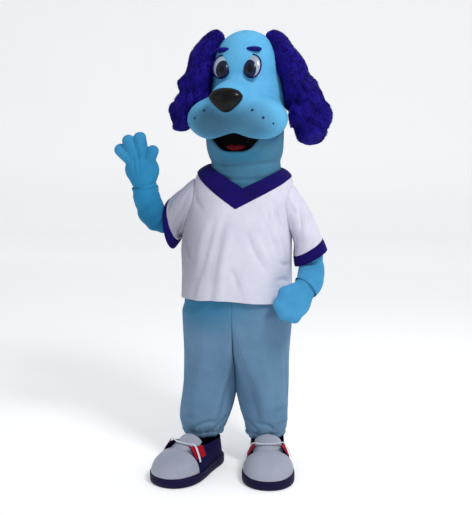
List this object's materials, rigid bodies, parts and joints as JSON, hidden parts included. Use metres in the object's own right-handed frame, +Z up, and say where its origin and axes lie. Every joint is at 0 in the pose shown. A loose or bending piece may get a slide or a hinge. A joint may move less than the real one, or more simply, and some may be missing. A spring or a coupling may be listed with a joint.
{
  "type": "dog mascot costume",
  "caption": "Full-body plush dog mascot costume, filled out as worn: large floppy-eared head, short-sleeved V-neck shirt, fleece trousers, mitts and big trainers.",
  "frame": {"origin": "in the neck opening between the shoulders, on the torso's middle, where the wearer holds the costume up, 1.36 m above the floor", "axes": "+Z up, -Y towards the front of the costume, +X towards its left arm, which hangs lowered"},
  "size_m": [0.9726, 0.6407, 2.0038],
  "materials": {
    "white_jersey": "matte",
    "navy_rib": "matte ribbed",
    "grey_fleece": "matte short pile",
    "sky_plush": "matte short pile",
    "blue_fur": "curly long pile",
    "black_gloss": "gloss",
    "black_cloth": "matte",
    "red_felt": "matte felt",
    "eye_white": "satin",
    "white_vinyl": "satin coated cloth",
    "navy_canvas": "matte canvas",
    "navy_rubber": "satin",
    "white_lace": "matte woven"
  },
  "bodies": {
    "root": {"arm_left": "sky_plush", "arm_right": "sky_plush", "brow_left": "blue_fur", "brow_right": "blue_fur", "collar": "navy_rib", "cuff_left": "navy_rib", "cuff_right": "navy_rib", "ear_left": "blue_fur", "ear_right": "blue_fur", "eye_left": "eye_white", "eye_right": "eye_white", "eyelet_tab_inner_left": "red_felt", "eyelet_tab_inner_right": "red_felt", "eyelet_tab_outer_left": "red_felt", "eyelet_tab_outer_right": "red_felt", "head_shell": "sky_plush", "lace_left": "white_lace", "lace_right": "white_lace", "mitt_left": "sky_plush", "mitt_right": "sky_plush", "mouth_lining": "black_cloth", "mouth_tongue": "red_felt", "neck": "sky_plush", "nose": "black_gloss", "pupil_left": "black_gloss", "pupil_right": "black_gloss", "quarters_left": "navy_canvas", "quarters_right": "navy_canvas", "shirt_back": "white_jersey", "shirt_front": "white_jersey", "shoe_tongue_left": "white_vinyl", "shoe_tongue_right": "white_vinyl", "sleeve_left": "white_jersey", "sleeve_right": "white_jersey", "sole_left": "navy_rubber", "sole_right": "navy_rubber", "toe_cap_left": "white_vinyl", "toe_cap_right": "white_vinyl", "trousers_left": "grey_fleece", "trousers_right": "grey_fleece"}
  },
  "joints": []
}
